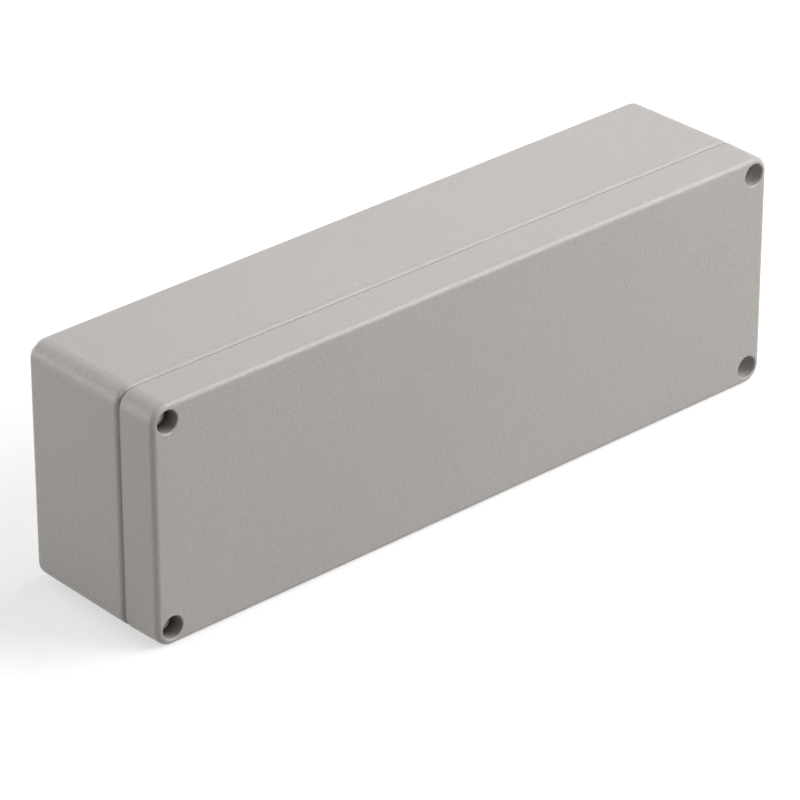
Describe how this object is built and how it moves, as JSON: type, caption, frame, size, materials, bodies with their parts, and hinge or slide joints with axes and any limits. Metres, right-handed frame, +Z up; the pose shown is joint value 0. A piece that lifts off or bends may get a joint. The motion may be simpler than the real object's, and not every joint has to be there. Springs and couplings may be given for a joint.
{
  "type": "die cast aluminium box",
  "caption": "Long rectangular equipment enclosure of two painted castings, with a sealed lid held by captive screws in deep corner recesses.",
  "frame": {"origin": "centre of the long side that the box stands on, at the middle of its length and depth", "axes": "+X along the length, +Y from the lid's face towards the back face, +Z up"},
  "size_m": [0.25, 0.057, 0.08],
  "materials": {
    "paint": "fine textured powder coat",
    "screw_steel": "turned, bright",
    "gasket": "matt",
    "nylon": "natural",
    "brass": "plain"
  },
  "bodies": {
    "base": {"base_casting": "paint", "base_earth_screw": "screw_steel", "base_earth_spring_washer": "screw_steel", "base_earth_washer": "brass"},
    "lid": {"lid_casting": "paint", "lid_gasket": "gasket", "captive_washer_upper_left": "nylon", "captive_washer_lower_left": "nylon", "captive_washer_upper_right": "nylon", "captive_washer_lower_right": "nylon", "lid_earth_screw": "screw_steel", "lid_earth_spring_washer": "screw_steel", "lid_earth_washer": "brass"},
    "screw_upper_left": {"lid_screw_upper_left": "screw_steel"},
    "screw_lower_left": {"lid_screw_lower_left": "screw_steel"},
    "screw_upper_right": {"lid_screw_upper_right": "screw_steel"},
    "screw_lower_right": {"lid_screw_lower_right": "screw_steel"}
  },
  "joints": [
    {"name": "lid_lift_off", "type": "slide", "parent": "base", "child": "lid", "axis": [0, -1, 0], "range_m": [0, 0.08]},
    {"name": "screw_out_upper_left", "type": "slide", "parent": "lid", "child": "screw_upper_left", "axis": [0, -1, 0], "range_m": [0, 0.007]},
    {"name": "screw_out_lower_left", "type": "slide", "parent": "lid", "child": "screw_lower_left", "axis": [0, -1, 0], "range_m": [0, 0.007]},
    {"name": "screw_out_upper_right", "type": "slide", "parent": "lid", "child": "screw_upper_right", "axis": [0, -1, 0], "range_m": [0, 0.007]},
    {"name": "screw_out_lower_right", "type": "slide", "parent": "lid", "child": "screw_lower_right", "axis": [0, -1, 0], "range_m": [0, 0.007]}
  ]
}
